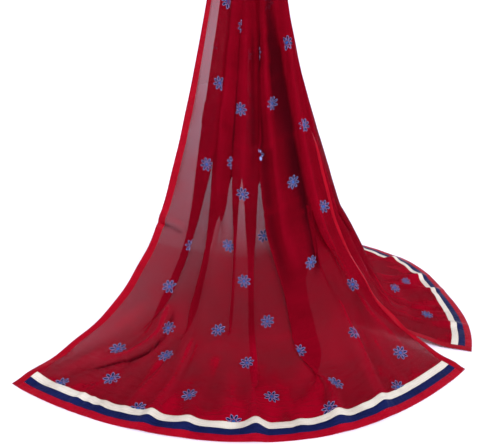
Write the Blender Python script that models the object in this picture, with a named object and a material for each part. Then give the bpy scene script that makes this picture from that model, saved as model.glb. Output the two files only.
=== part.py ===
import math
from collections import namedtuple

import bpy
import numpy as np

# sizes in metres, angles in degrees

HOLD_HEIGHT = 1.0        # floor to the underside of the cloth where it is held
CLOTH_WIDTH = 0.95       # across, with the two side ribbons
FRONT_LENGTH = 1.22      # cloth from the hold to the front hem
BACK_LENGTH = 1.22       # cloth from the hold to the back hem
RIBBON = 0.016           # width of each satin ribbon
SEAM = 0.0003            # gap between sewn pieces
PANEL_WALL = 0.0012
RIBBON_WALL = 0.0018
ARCH_RADIUS = 0.012      # middle of the cloth over the holder
BUNCH_HALF = 0.030       # half width of the gathered cloth at the hold
TOP = HOLD_HEIGHT - ARCH_RADIUS + PANEL_WALL / 2

# height of a thread against its way out from the hold, as shares of the fall
# way out, thread at a border, thread in the middle of the front, thread of the back
THREAD_HEIGHTS = [
    (0.00, 1.000, 1.000, 1.000),
    (0.10, 0.765, 0.590, 0.690),
    (0.20, 0.564, 0.330, 0.530),
    (0.30, 0.390, 0.172, 0.388),
    (0.40, 0.248, 0.084, 0.250),
    (0.50, 0.160, 0.036, 0.128),
    (0.60, 0.095, 0.013, 0.046),
    (0.70, 0.055, 0.004, 0.015),
    (0.80, 0.028, 0.001, 0.005),
    (0.90, 0.010, 0.000, 0.001),
    (1.00, 0.000, 0.000, 0.000),
]

# threads the falls are hung from
# bearing and distance say where a thread meets the hem, seen from above the hold
# border and back are shares of those two height curves, bow bends a thread sideways
Thread = namedtuple("Thread", "share bearing distance border back bow")
FRONT_THREADS = [
    (0.00, -141.3, 0.558, 1.0, 0.0, 0.0),
    (0.07, -133.7, 0.538, 0.8, 0.0, 0.0),
    (0.16, -124.8, 0.519, 0.5, 0.0, 0.0),
    (0.30, -110.0, 0.501, 0.2, 0.0, 0.0),
    (0.50, -89.0, 0.494, 0.0, 0.0, 0.0),
    (0.70, -68.5, 0.496, 0.2, 0.0, 0.0),
    (0.84, -54.0, 0.496, 0.5, 0.0, 0.0),
    (0.93, -44.5, 0.503, 0.8, 0.0, 0.0),
    (1.00, -36.5, 0.513, 1.0, 0.0, 0.0),
]
BACK_THREADS = [
    (0.00, 77.0, 0.520, 0.5, 0.5, 0.0),
    (0.15, 62.0, 0.522, 0.2, 0.8, 0.0),
    (0.29, 47.0, 0.528, 0.0, 1.0, 0.0),
    (0.40, 36.0, 0.535, 0.0, 1.0, 0.0),
    (0.55, 19.0, 0.527, 0.0, 1.0, 0.0),
    (0.71, 2.0, 0.506, 0.0, 1.0, 0.0),
    (0.84, -11.5, 0.510, 0.0, 0.9, -0.010),
    (0.95, -23.0, 0.513, 0.1, 0.5, -0.032),
    (1.00, -28.5, 0.514, 0.2, 0.2, -0.042),
]

# legs of the pleats, from the left border to the right one
# middle and reach are metres across the cloth, sense is the way the leg turns
# top, half and low are its places across the fall
# held and swing are its turn at the hold and lower down
# from opens to opened the turn eases to rest, and to hem at the hem
Leg = namedtuple("Leg", "middle reach sense top half low held swing opens opened rest hem")
FRONT_LEGS = [
    (0.120, 0.054, -1, 0.13, 0.150, 0.160, 95, 112, 0.72, 0.88, 46, 4),
    (0.258, 0.054, 1, 0.24, 0.258, 0.285, 95, 112, 0.72, 0.87, 46, 12),
    (0.335, 0.030, -1, 0.35, 0.335, 0.330, 95, 104, 0.58, 0.70, 30, 4),
    (0.405, 0.030, 1, 0.45, 0.412, 0.435, 95, 104, 0.78, 0.84, 30, 4),
    (0.482, 0.034, -1, 0.55, 0.510, 0.512, 95, 108, 0.86, 0.97, 35, 16),
    (0.628, 0.060, 1, 0.66, 0.722, 0.703, 95, 108, 0.66, 0.85, 64, 14),
    (0.742, 0.042, -1, 0.77, 0.830, 0.850, 95, 106, 0.62, 0.82, 38, 12),
    (0.842, 0.042, 1, 0.88, 0.910, 0.925, 95, 104, 0.62, 0.80, 35, 6),
]
BACK_LEGS = [
    (0.112, 0.050, -1, 0.13, 0.115, 0.118, 95, 110, 0.56, 0.80, 32, 8),
    (0.218, 0.050, 1, 0.24, 0.230, 0.230, 95, 110, 0.58, 0.82, 32, 8),
    (0.324, 0.050, -1, 0.35, 0.345, 0.341, 95, 110, 0.56, 0.80, 32, 8),
    (0.430, 0.050, 1, 0.45, 0.455, 0.453, 95, 110, 0.54, 0.78, 36, 12),
    (0.536, 0.050, -1, 0.55, 0.565, 0.564, 95, 110, 0.52, 0.74, 40, 14),
    (0.640, 0.046, 1, 0.66, 0.675, 0.674, 95, 108, 0.52, 0.74, 36, 10),
    (0.740, 0.046, -1, 0.77, 0.780, 0.779, 95, 106, 0.52, 0.76, 32, 8),
    (0.838, 0.046, 1, 0.88, 0.885, 0.882, 95, 104, 0.52, 0.76, 30, 6),
]
TRACK_PLACES = (0.0, 0.5, 0.8, 1.0)
SHARPNESS = 1.3          # how flat the middle of a leg is
SWING_GROWS = (0.1, 0.45)
RUN_OUT = (0.8, 1.0)     # where the pleats run out towards the hem

# depth of the pleats and the share of it that lies inside each fall, by way down the cloth
Depth = namedtuple("Depth", "way depth front back")
PLEAT_DEPTHS = [
    (0.00, 0.015, 0.00, 0.00),
    (0.08, 0.018, 0.00, 0.00),
    (0.20, 0.028, 0.45, 0.50),
    (0.35, 0.040, 0.80, 0.75),
    (0.50, 0.048, 0.85, 0.85),
    (0.64, 0.048, 0.80, 0.90),
    (0.73, 0.034, 0.35, 0.40),
    (0.80, 0.022, 0.00, 0.00),
    (0.90, 0.014, 0.00, 0.00),
    (0.96, 0.008, 0.00, 0.00),
    (1.00, 0.003, 0.00, 0.00),
]
BORDER_REACH = 0.07      # cloth beside a border that stays on the plain fall
BORDER_CURL = 0.008      # height the borders curl off the floor
CURL_START = 0.7
BUNCH_END = 0.08         # way down to which the gathered cloth faces straight out
BORDERS_LEAVE = (0.15, 0.5)    # where the borders leave the bunch for the plain fall

# ways down the cloth where the rows of points lie
ARCH_STEPS = 3
UPPER_ROWS = (0.0, 0.03, 0.06, 0.09, 0.13, 0.17, 0.22, 0.27, 0.32, 0.37, 0.42, 0.47, 0.52)
FRONT_ROWS = UPPER_ROWS + (0.57, 0.61, 0.65, 0.69, 0.73, 0.765, 0.795, 0.82, 0.845, 0.87, 0.895, 0.92, 0.94)
BACK_ROWS = UPPER_ROWS + (0.56, 0.60, 0.64, 0.68, 0.72, 0.76, 0.80, 0.84, 0.88, 0.92, 0.94)
LEAST_ROW = 0.01         # a row closer than this to the end ribbons is left out
BEND_PLACES = (-0.78, -0.42, 0.42, 0.78)    # points of a leg, as shares of its reach

# steps the falls are worked out in
THREAD_STEPS = 81
CURVE_STEPS = 241
WAY_STEPS = 161
ACROSS_STEPS = 951
NEAR = 0.001             # cloth between two points that give a slope
STEP_DOWN = 0.004        # the same down the cloth, as a share of the fall


def ease(value, start, end):
    s = np.clip((value - start) / (end - start), 0.0, 1.0)
    return s * s * (3.0 - 2.0 * s)


def soft_column(rows, column, places):
    """Smooth curve through one column of a table whose first column is the place."""
    table = np.array(rows, float)
    x = table[:, 0]
    y = table[:, column]
    slope = np.gradient(y, x)
    i = np.clip(np.searchsorted(x, places, side="right") - 1, 0, len(x) - 2)
    width = x[i + 1] - x[i]
    s = np.clip((places - x[i]) / width, 0.0, 1.0)
    first = (1 + 2 * s) * (1 - s) ** 2 * y[i] + s * (1 - s) ** 2 * width * slope[i]
    second = s * s * (3 - 2 * s) * y[i + 1] - s * s * (1 - s) * width * slope[i + 1]
    return first + second


def thread_column(threads, name, shares):
    return soft_column(threads, Thread._fields.index(name), shares)


def plain_fall(threads, side):
    """Points of the fall without pleats, by way down and share of the width."""
    shares = np.linspace(0.0, 1.0, THREAD_STEPS)
    out = np.linspace(0.0, 1.0, CURVE_STEPS)
    bearing = np.radians(thread_column(threads, "bearing", shares))
    distance = thread_column(threads, "distance", shares)
    border = thread_column(threads, "border", shares)
    back = thread_column(threads, "back", shares)
    bow = thread_column(threads, "bow", shares)
    curves = [soft_column(THREAD_HEIGHTS, k, out) for k in (1, 2, 3)]
    ways = np.linspace(0.0, 1.0, WAY_STEPS)
    points = np.zeros((len(ways), len(shares), 3))
    for j, share in enumerate(shares):
        start_x = BUNCH_HALF * (2 * share - 1)
        start_y = ARCH_RADIUS * side
        x = start_x + (distance[j] * math.cos(bearing[j]) - start_x) * out
        y = start_y + (distance[j] * math.sin(bearing[j]) - start_y) * out
        y = y + 4 * bow[j] * out * (1 - out)
        middle = 1 - border[j] - back[j]
        height = border[j] * curves[0] + middle * curves[1] + back[j] * curves[2]
        z = TOP * height - HOLD_HEIGHT + RIBBON_WALL / 2 * (1 - height)
        run = np.sqrt(np.diff(x) ** 2 + np.diff(y) ** 2 + np.diff(z) ** 2)
        run = np.concatenate([[0.0], np.cumsum(run)])
        way = ways * run[-1]
        points[:, j, 0] = np.interp(way, run, x)
        points[:, j, 1] = np.interp(way, run, y)
        points[:, j, 2] = np.interp(way, run, z)
    return ways, shares, points


def fall_normals(points, side):
    down = np.gradient(points, axis=0)
    across = np.gradient(points, axis=1)
    normals = np.cross(across, down) * side
    return normals / np.linalg.norm(normals, axis=2, keepdims=True)


def pleat_section(legs, u, way, length):
    """Place along the fall and depth of each point u of one row, from the swing of the pleats' legs."""
    turn = np.zeros_like(u)
    tracks = []
    for leg in legs:
        swing = leg.held + (leg.swing - leg.held) * ease(way, *SWING_GROWS)
        rest = leg.rest + (leg.hem - leg.rest) * ease(way, *RUN_OUT)
        swing = swing + (rest - swing) * ease(way, leg.opens, leg.opened)
        near = np.clip(np.abs(u - leg.middle) / leg.reach, 0.0, 1.0)
        hump = np.clip(SHARPNESS * (0.5 + 0.5 * np.cos(np.pi * near)), 0.0, 1.0)
        turn = turn + leg.sense * math.radians(swing) * hump
        places = (leg.top, leg.half, leg.low, leg.middle / CLOTH_WIDTH)
        tracks.append(float(np.interp(way, TRACK_PLACES, places)))
    step = np.diff(u)
    along = np.cos(turn)
    depth = np.sin(turn)
    p = np.concatenate([[0.0], np.cumsum(0.5 * (along[1:] + along[:-1]) * step)])
    q = np.concatenate([[0.0], np.cumsum(0.5 * (depth[1:] + depth[:-1]) * step)])
    q = q - q[-1] * u / u[-1]
    found = [0.0] + [float(np.interp(leg.middle, u, p)) for leg in legs] + [p[-1]]
    wanted = [0.0] + [length * t for t in tracks] + [length]
    low = (p - found[0]) * wanted[1] / found[1]
    high = wanted[-1] + (p - found[-1]) * (wanted[-1] - wanted[-2]) / (found[-1] - found[-2])
    moved = np.interp(p, found, wanted)
    moved = np.where(p < found[0], low, moved)
    moved = np.where(p > found[-1], high, moved)
    return moved, q


class Fall:
    """One half of the stole, from the hold to its hem."""

    def __init__(self, threads, legs, side, length):
        self.side = side
        self.length = length
        self.legs = [Leg(*row) for row in legs]
        self.ways, self.shares, self.points = plain_fall(threads, side)
        self.normals = fall_normals(self.points, side)
        self.fine = np.linspace(0.0, CLOTH_WIDTH, ACROSS_STEPS)

    def plain_row(self, way):
        place = way * (len(self.ways) - 1)
        i = min(int(place), len(self.ways) - 2)
        s = place - i
        row = self.points[i] * (1 - s) + self.points[i + 1] * s
        normal = self.normals[i] * (1 - s) + self.normals[i + 1] * s
        outward = np.array([0.0, float(self.side), 0.0])
        held = 1.0 - ease(way, 0.0, BUNCH_END)
        normal = normal * (1 - held) + outward * held
        return row, normal

    def section(self, way, length):
        """Place along the row and height off it for each fine point of the width."""
        p, q = pleat_section(self.legs, self.fine, way, length)
        rows = [Depth(*row) for row in PLEAT_DEPTHS]
        places = [row.way for row in rows]
        shares = [row.front if self.side < 0 else row.back for row in rows]
        depth = float(np.interp(way, places, [row.depth for row in rows]))
        inside = float(np.interp(way, places, shares))
        span = q.max() - q.min()
        q = q * min(1.0, depth / max(span, 1e-6))
        span = q.max() - q.min()
        lift = -q.min() - inside * span
        edge = ease(self.fine, 0.0, BORDER_REACH) * ease(CLOTH_WIDTH - self.fine, 0.0, BORDER_REACH)
        hold = 1.0 - ease(way, *BORDERS_LEAVE)
        share = min(max((way - CURL_START) / (1.0 - CURL_START), 0.0), 1.0)
        curl = BORDER_CURL * math.sin(math.pi * share)
        return p, q + lift * (edge + (1 - edge) * hold) + curl * (1 - edge)

    def row(self, way, columns):
        """Middle points of the cloth across one row."""
        line, normal = self.plain_row(max(way, 0.0))
        run = np.linalg.norm(np.diff(line, axis=0), axis=1)
        run = np.concatenate([[0.0], np.cumsum(run)])
        p, q = self.section(max(way, 0.0), run[-1])
        p = np.interp(columns, self.fine, p)
        q = np.interp(columns, self.fine, q)
        result = np.zeros((len(columns), 3))
        if way < 0.0:
            angle = -way * math.pi / 2
            x = np.interp(p, run, line[:, 0])
            reach = ARCH_RADIUS + q
            result[:, 0] = x
            result[:, 1] = self.side * reach * math.cos(angle)
            result[:, 2] = TOP - HOLD_HEIGHT + reach * math.sin(angle)
            return result
        for k in range(3):
            result[:, k] = np.interp(p, run, line[:, k]) + q * np.interp(p, run, normal[:, k])
        return result

    def columns(self):
        """Places across the cloth where the pleats turn."""
        places = [RIBBON]
        before = RIBBON
        for leg in self.legs:
            places.append(0.5 * (before + leg.middle + leg.reach * BEND_PLACES[0]))
            for share in BEND_PLACES:
                places.append(leg.middle + leg.reach * share)
            before = places[-1]
        places.append(0.5 * (before + CLOTH_WIDTH - RIBBON))
        places.append(CLOTH_WIDTH - RIBBON)
        return np.array(places)

    def seamed(self, way, columns):
        """The columns with half a seam taken off at the edge of a side ribbon."""
        moved = np.array(columns, float)
        for edge in (RIBBON, CLOTH_WIDTH - RIBBON):
            pair = self.row(way, np.array([edge - NEAR, edge + NEAR]))
            stretch = np.linalg.norm(pair[1] - pair[0]) / (2 * NEAR)
            half = SEAM / 2 / stretch
            if columns[0] == edge:
                moved[0] = edge + half
            if columns[-1] == edge:
                moved[-1] = edge - half
        return moved

    def sheet(self, ways, columns):
        """Middle points and normals of a grid of cloth."""
        grid = []
        normals = []
        for way in ways:
            places = self.seamed(way, columns)
            after = self.row(min(way + STEP_DOWN, 1.0), columns)
            before = self.row(max(way - STEP_DOWN, -1.0), columns)
            right = self.row(way, np.minimum(columns + NEAR, CLOTH_WIDTH))
            left = self.row(way, np.maximum(columns - NEAR, 0.0))
            normal = np.cross(after - before, right - left)
            grid.append(self.row(way, places))
            normals.append(normal / np.linalg.norm(normal, axis=1, keepdims=True))
        return np.array(grid), np.array(normals)


def sheet_mesh(grid, normals, wall):
    """Closed wall around a grid of middle points."""
    high, wide = grid.shape[:2]
    skins = (grid + normals * wall / 2, grid - normals * wall / 2)
    points = [tuple(p) for skin in skins for line in skin for p in line]
    faces = []

    def at(skin, i, j):
        return skin * high * wide + i * wide + j

    def four(a, b, c, d):
        faces.append((a, b, c))
        faces.append((a, c, d))

    for i in range(high - 1):
        for j in range(wide - 1):
            falling = np.linalg.norm(grid[i + 1, j + 1] - grid[i, j])
            rising = np.linalg.norm(grid[i + 1, j] - grid[i, j + 1])
            for skin in (0, 1):
                corners = [at(skin, i, j), at(skin, i + 1, j), at(skin, i + 1, j + 1), at(skin, i, j + 1)]
                if rising < falling:
                    corners = corners[1:] + corners[:1]
                if skin == 1:
                    corners = [corners[0], corners[3], corners[2], corners[1]]
                four(*corners)
    for i in range(high - 1):
        four(at(0, i, 0), at(1, i, 0), at(1, i + 1, 0), at(0, i + 1, 0))
        last = wide - 1
        four(at(0, i, last), at(0, i + 1, last), at(1, i + 1, last), at(1, i, last))
    for j in range(wide - 1):
        four(at(0, 0, j), at(0, 0, j + 1), at(1, 0, j + 1), at(1, 0, j))
        last = high - 1
        four(at(0, last, j), at(1, last, j), at(1, last, j + 1), at(0, last, j + 1))
    return points, faces


def material(name, colour, roughness):
    made = bpy.data.materials.new(name)
    made.use_nodes = True
    shader = made.node_tree.nodes["Principled BSDF"]
    shader.inputs["Base Color"].default_value = colour + (1.0,)
    shader.inputs["Roughness"].default_value = roughness
    shader.inputs["Metallic"].default_value = 0.0
    return made


def add_node(name, points, faces, look):
    mesh = bpy.data.meshes.new(name)
    mesh.from_pydata(points, [], faces)
    mesh.validate()
    mesh.update()
    node = bpy.data.objects.new(name, mesh)
    bpy.context.scene.collection.objects.link(node)
    mesh.materials.append(look)
    for face in mesh.polygons:
        face.use_smooth = True
    return node


def closed_outward(points, faces):
    """Turns the faces round if the wall encloses a negative volume."""
    volume = 0.0
    for face in faces:
        a = points[face[0]]
        for k in range(1, len(face) - 1):
            b = points[face[k]]
            c = points[face[k + 1]]
            volume += a[0] * (b[1] * c[2] - b[2] * c[1])
            volume += a[1] * (b[2] * c[0] - b[0] * c[2])
            volume += a[2] * (b[0] * c[1] - b[1] * c[0])
    if volume < 0:
        return [tuple(reversed(face)) for face in faces]
    return faces


def add_sheet(name, fall, ways, columns, wall, look):
    grid, normals = fall.sheet(ways, columns)
    points, faces = sheet_mesh(grid, normals, wall)
    return add_node(name, points, closed_outward(points, faces), look)


def build_fall(word, fall, rows, looks):
    """Panel, two side ribbons and the three ribbons at the hem of one half."""
    length = fall.length
    top = 1.0 - SEAM / (math.pi * ARCH_RADIUS)
    arch = [-top * (ARCH_STEPS - k) / ARCH_STEPS for k in range(ARCH_STEPS)]
    end = (length - 3 * RIBBON - SEAM / 2) / length
    ways = arch + [way for way in rows if way < end - LEAST_ROW] + [end]
    columns = fall.columns()
    add_sheet(word + "_fall", fall, ways, columns, PANEL_WALL, looks["chiffon"])
    full = ways + [1.0 - 2 * RIBBON / length, 1.0 - RIBBON / length, 1.0]
    left = np.array([0.0, RIBBON])
    right = np.array([CLOTH_WIDTH - RIBBON, CLOTH_WIDTH])
    add_sheet(word + "_left_ribbon", fall, full, left, RIBBON_WALL, looks["red"])
    add_sheet(word + "_right_ribbon", fall, full, right, RIBBON_WALL, looks["red"])
    for k, colour in enumerate(("white", "navy", "red")):
        start = length - (3 - k) * RIBBON + SEAM / 2
        stop = length - (2 - k) * RIBBON - SEAM / 2
        if k == 2:
            stop = length
        band = [start / length, stop / length]
        add_sheet(word + "_hem_" + colour, fall, band, columns, RIBBON_WALL, looks[colour])


def main():
    for old in list(bpy.data.objects):
        bpy.data.objects.remove(old)
    looks = {
        "chiffon": material("maroon_chiffon", (0.27, 0.004, 0.02), 0.7),
        "red": material("red_satin", (0.55, 0.015, 0.025), 0.4),
        "navy": material("navy_satin", (0.02, 0.035, 0.14), 0.4),
        "white": material("ivory_satin", (0.76, 0.73, 0.66), 0.45),
    }
    front = Fall(FRONT_THREADS, FRONT_LEGS, -1, FRONT_LENGTH)
    back = Fall(BACK_THREADS, BACK_LEGS, 1, BACK_LENGTH)
    build_fall("front", front, FRONT_ROWS, looks)
    build_fall("back", back, BACK_ROWS, looks)


main()
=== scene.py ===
import math
from collections import namedtuple

import bpy
import numpy as np
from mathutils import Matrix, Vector


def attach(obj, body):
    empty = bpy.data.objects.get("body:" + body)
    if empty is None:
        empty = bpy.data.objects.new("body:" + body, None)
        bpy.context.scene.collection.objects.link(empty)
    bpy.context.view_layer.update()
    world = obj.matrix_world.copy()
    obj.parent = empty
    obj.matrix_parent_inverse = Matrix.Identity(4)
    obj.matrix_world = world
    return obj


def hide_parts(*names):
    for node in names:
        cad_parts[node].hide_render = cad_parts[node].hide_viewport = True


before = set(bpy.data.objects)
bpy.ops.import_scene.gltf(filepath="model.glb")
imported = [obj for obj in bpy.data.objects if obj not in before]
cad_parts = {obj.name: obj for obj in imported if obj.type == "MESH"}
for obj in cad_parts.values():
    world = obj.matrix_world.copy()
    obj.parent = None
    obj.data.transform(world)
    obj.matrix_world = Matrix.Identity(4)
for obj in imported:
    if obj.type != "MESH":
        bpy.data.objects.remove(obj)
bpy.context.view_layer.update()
print("frame loaded")

# the cut of the stole and how it is held, in metres
stole = {
    "holdHeight": 1.0,       # floor to the underside of the cloth at the hold
    "width": 0.95,
    "length": 1.22,          # hold to hem, the same in front and behind
    "ribbon": 0.016,         # down both sides
    "endRibbon": 0.0138,     # each of the three across an end, drawn flat by its stitches
    "archRadius": 0.012,
    "archTurn": 1.57,        # the quarter turn over the hold, as the cut allows for it
    "archGap": 0.008,        # share of that turn left open between the halves
    "bunchHalf": 0.030,
    "topHeight": 0.9886,
    "floorGap": 0.0009,      # floor to the middle of the cloth
    "steps": (81, 241, 161, 951),      # threads, places along one, rows, places across a row
}
archLength = stole["archRadius"] * math.pi / 2

# height of a thread against its way out from the hold: border, middle of the front, back
threadHeights = [
    (0.00, 1.000, 1.000, 1.000), (0.10, 0.765, 0.590, 0.690), (0.20, 0.564, 0.330, 0.530),
    (0.30, 0.390, 0.172, 0.388), (0.40, 0.248, 0.084, 0.250), (0.50, 0.160, 0.036, 0.128),
    (0.60, 0.095, 0.013, 0.046), (0.70, 0.055, 0.004, 0.015), (0.80, 0.028, 0.001, 0.005),
    (0.90, 0.010, 0.000, 0.001), (1.00, 0.000, 0.000, 0.000),
]

# straight threads from the hold, left border to right: share of the width, bearing of its foot in degrees,
# distance of its foot, shares of the border's and the back's heights, and how far it bows
Thread = namedtuple("Thread", "share bearing distance border back bow")
frontThreads = [
    (0.00, -141.3, 0.558, 1.0, 0.0, 0.0), (0.07, -133.7, 0.538, 0.8, 0.0, 0.0),
    (0.16, -124.8, 0.519, 0.5, 0.0, 0.0), (0.30, -110.0, 0.501, 0.2, 0.0, 0.0),
    (0.50, -89.0, 0.494, 0.0, 0.0, 0.0), (0.70, -68.5, 0.496, 0.2, 0.0, 0.0),
    (0.84, -54.0, 0.496, 0.5, 0.0, 0.0), (0.93, -44.5, 0.503, 0.8, 0.0, 0.0),
    (1.00, -36.5, 0.513, 1.0, 0.0, 0.0),
]
backThreads = [
    (0.00, 77.0, 0.520, 0.5, 0.5, 0.0), (0.15, 62.0, 0.522, 0.2, 0.8, 0.0),
    (0.29, 47.0, 0.528, 0.0, 1.0, 0.0), (0.40, 36.0, 0.535, 0.0, 1.0, 0.0),
    (0.55, 19.0, 0.527, 0.0, 1.0, 0.0), (0.71, 2.0, 0.506, 0.0, 1.0, 0.0),
    (0.84, -11.5, 0.510, 0.0, 0.9, -0.010), (0.95, -23.0, 0.513, 0.1, 0.5, -0.032),
    (1.00, -28.5, 0.514, 0.2, 0.2, -0.042),
]

# pleats from the left border to the right one: each leg turns the cloth and lets it open near the floor;
# middle and reach in metres across, top to low in shares of the row, turns in degrees
Leg = namedtuple("Leg", "middle reach sense top half low held swing opens opened rest hem")
frontLegs = [
    (0.120, 0.054, -1, 0.25, 0.215, 0.160, 95, 114, 0.76, 0.90, 46, 4),
    (0.258, 0.054, 1, 0.33, 0.290, 0.285, 95, 114, 0.76, 0.88, 46, 12),
    (0.335, 0.030, -1, 0.41, 0.352, 0.330, 95, 106, 0.58, 0.70, 30, 4),
    (0.405, 0.030, 1, 0.48, 0.420, 0.435, 95, 106, 0.78, 0.84, 30, 4),
    (0.482, 0.034, -1, 0.56, 0.512, 0.512, 95, 110, 0.86, 0.97, 35, 16),
    (0.628, 0.074, 1, 0.67, 0.722, 0.703, 95, 120, 0.84, 0.97, 50, 14),
    (0.742, 0.042, -1, 0.77, 0.830, 0.850, 95, 108, 0.66, 0.86, 38, 12),
    (0.842, 0.042, 1, 0.88, 0.910, 0.925, 95, 106, 0.66, 0.84, 35, 6),
]
backLegs = [
    (0.112, 0.050, -1, 0.13, 0.115, 0.118, 95, 110, 0.62, 0.88, 32, 8),
    (0.218, 0.050, 1, 0.24, 0.230, 0.230, 95, 110, 0.64, 0.90, 32, 8),
    (0.324, 0.050, -1, 0.35, 0.345, 0.341, 95, 110, 0.60, 0.86, 32, 8),
    (0.430, 0.050, 1, 0.45, 0.455, 0.453, 95, 110, 0.62, 0.90, 36, 12),
    (0.536, 0.050, -1, 0.55, 0.565, 0.564, 95, 110, 0.60, 0.88, 40, 14),
    (0.640, 0.046, 1, 0.66, 0.675, 0.674, 95, 108, 0.62, 0.90, 36, 10),
    (0.740, 0.046, -1, 0.77, 0.780, 0.779, 95, 106, 0.60, 0.86, 32, 8),
    (0.838, 0.046, 1, 0.88, 0.885, 0.882, 95, 104, 0.60, 0.88, 30, 6),
]
legPlaces = (0.0, 0.5, 0.8, 1.0)

# depth of the pleats down the cloth, and the share of it inside the front and the back
pleatDepths = [
    (0.00, 0.015, 0.00, 0.00), (0.08, 0.018, 0.00, 0.00), (0.20, 0.028, 0.45, 0.50),
    (0.35, 0.040, 0.80, 0.75), (0.50, 0.048, 0.85, 0.85), (0.64, 0.048, 0.80, 0.90),
    (0.73, 0.034, 0.35, 0.40), (0.80, 0.022, 0.00, 0.00), (0.90, 0.014, 0.00, 0.00),
    (0.96, 0.008, 0.00, 0.00), (1.00, 0.003, 0.00, 0.00),
]

# where the drape changes its ways, as shares of the fall
drape = {
    "sharpness": 1.3, "swingGrows": (0.1, 0.45), "runOut": (0.8, 1.0), "bunchEnd": 0.08,
    "widest": 135, "swayRange": (0.80, 1.15), "loosens": (0.46, 0.68),
    "lags": ((0.0, 0.0), (0.40, 0.0), (0.50, 0.02), (0.62, 0.07), (0.72, 0.10), (1.0, 0.10)),
    "bordersLeave": (0.15, 0.5), "borderReach": 0.07, "borderCurl": 0.008, "curlStart": 0.7,
    "tuckedFrom": 0.926, "tuckTurn": 172, "tuckBend": 0.005, "tuckOpens": (0.435, 0.56),
    "fitRounds": 12,
}


def ease(value, start, end):
    s = np.clip((value - start) / (end - start), 0.0, 1.0)
    return s * s * (3.0 - 2.0 * s)


def middles(values):
    return 0.5 * (values[1:] + values[:-1])


def summed(steps):  # how far along each point lies
    return np.concatenate([[0.0], np.cumsum(steps)])


def softColumn(rows, column, places):  # smooth curve through one column of a table
    table = np.array(rows, float)
    x, y = table[:, 0], table[:, column]
    slope = np.gradient(y, x)
    i = np.clip(np.searchsorted(x, places, side="right") - 1, 0, len(x) - 2)
    width = x[i + 1] - x[i]
    s = np.clip((places - x[i]) / width, 0.0, 1.0)
    first = (1 + 2 * s) * (1 - s) ** 2 * y[i] + s * (1 - s) ** 2 * width * slope[i]
    second = s * s * (3 - 2 * s) * y[i + 1] - s * s * (1 - s) * width * slope[i + 1]
    return first + second


def plainFall(threads, side):  # the fall without pleats
    shareSteps, outSteps, waySteps = stole["steps"][:3]
    shares = np.linspace(0.0, 1.0, shareSteps)
    out = np.linspace(0.0, 1.0, outSteps)
    columns = {name: softColumn(threads, k, shares) for k, name in enumerate(Thread._fields) if k}
    curves = [softColumn(threadHeights, k, out) for k in (1, 2, 3)]
    ways = np.linspace(0.0, 1.0, waySteps)
    points = np.zeros((waySteps, shareSteps, 3))
    for j, share in enumerate(shares):
        bearing = math.radians(columns["bearing"][j])
        distance, border, back = (columns[name][j] for name in ("distance", "border", "back"))
        startX = stole["bunchHalf"] * (2 * share - 1)
        startY = stole["archRadius"] * side
        x = startX + (distance * math.cos(bearing) - startX) * out
        y = startY + (distance * math.sin(bearing) - startY) * out
        y = y + 4 * columns["bow"][j] * out * (1 - out)
        height = border * curves[0] + (1 - border - back) * curves[1] + back * curves[2]
        z = stole["topHeight"] * height - stole["holdHeight"] + stole["floorGap"] * (1 - height)
        run = summed(np.sqrt(np.diff(x) ** 2 + np.diff(y) ** 2 + np.diff(z) ** 2))
        way = ways * run[-1]
        for k, line in enumerate((x, y, z)):
            points[:, j, k] = np.interp(way, run, line)
    return ways, points


def looseness(way, u):  # 0 where the pleats are packed, 1 where they hang apart
    places, lags = zip(*drape["lags"])
    return ease(way - np.interp(u / stole["width"], places, lags), *drape["loosens"])


def meander(legs, u, way, depth, sway):  # run along the row and depth off it, with no stretch
    turn = np.zeros_like(u)
    for leg in legs:
        swing = leg.held + (leg.swing - leg.held) * ease(way, *drape["swingGrows"])
        rest = leg.rest + (leg.hem - leg.rest) * ease(way, *drape["runOut"])
        swing = swing + (rest - swing) * ease(way, leg.opens, leg.opened)
        near = np.clip(np.abs(u - leg.middle) / leg.reach, 0.0, 1.0)
        hump = np.clip(drape["sharpness"] * (0.5 + 0.5 * np.cos(np.pi * near)), 0.0, 1.0)
        swing = swing * (1.0 + (sway - 1.0) * (1.0 - looseness(way, leg.middle)))
        turn = turn + leg.sense * math.radians(min(swing, drape["widest"])) * hump
    step = np.diff(u)
    q = summed(middles(np.sin(turn)) * step)
    squash = min(1.0, depth / max(q.max() - q.min(), 1e-6))
    flat = middles(np.sign(np.cos(turn)) * np.sqrt(1.0 - (squash * np.sin(turn)) ** 2))
    plain = middles(np.cos(turn))
    loose = middles(looseness(way, u))
    p = summed((flat * (1 - loose) + plain * loose) * step)
    q = (q - q[-1] * u / u[-1]) * squash
    return p, q


def pleatSection(legs, u, way, length, depth):
    low, high = drape["swayRange"]
    for _ in range(drape["fitRounds"]):  # higher up the pleats close until the cloth fits its row
        sway = 0.5 * (low + high)
        p, q = meander(legs, u, way, depth, sway)
        if p[-1] > length:
            low = sway
        else:
            high = sway
    tracks = []
    for leg in legs:
        places = (leg.top, leg.half, leg.low, leg.middle / stole["width"])
        tracks.append(float(np.interp(way, legPlaces, places)))
    found = [0.0] + [float(np.interp(leg.middle, u, p)) for leg in legs] + [p[-1]]
    wanted = [0.0] + [length * t for t in tracks] + [length]
    before = (p - found[0]) * wanted[1] / found[1]
    after = wanted[-1] + (p - found[-1]) * (wanted[-1] - wanted[-2]) / (found[-1] - found[-2])
    moved = np.interp(p, found, wanted)
    moved = np.where(p < found[0], before, moved)
    return np.where(p > found[-1], after, moved), q


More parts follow.
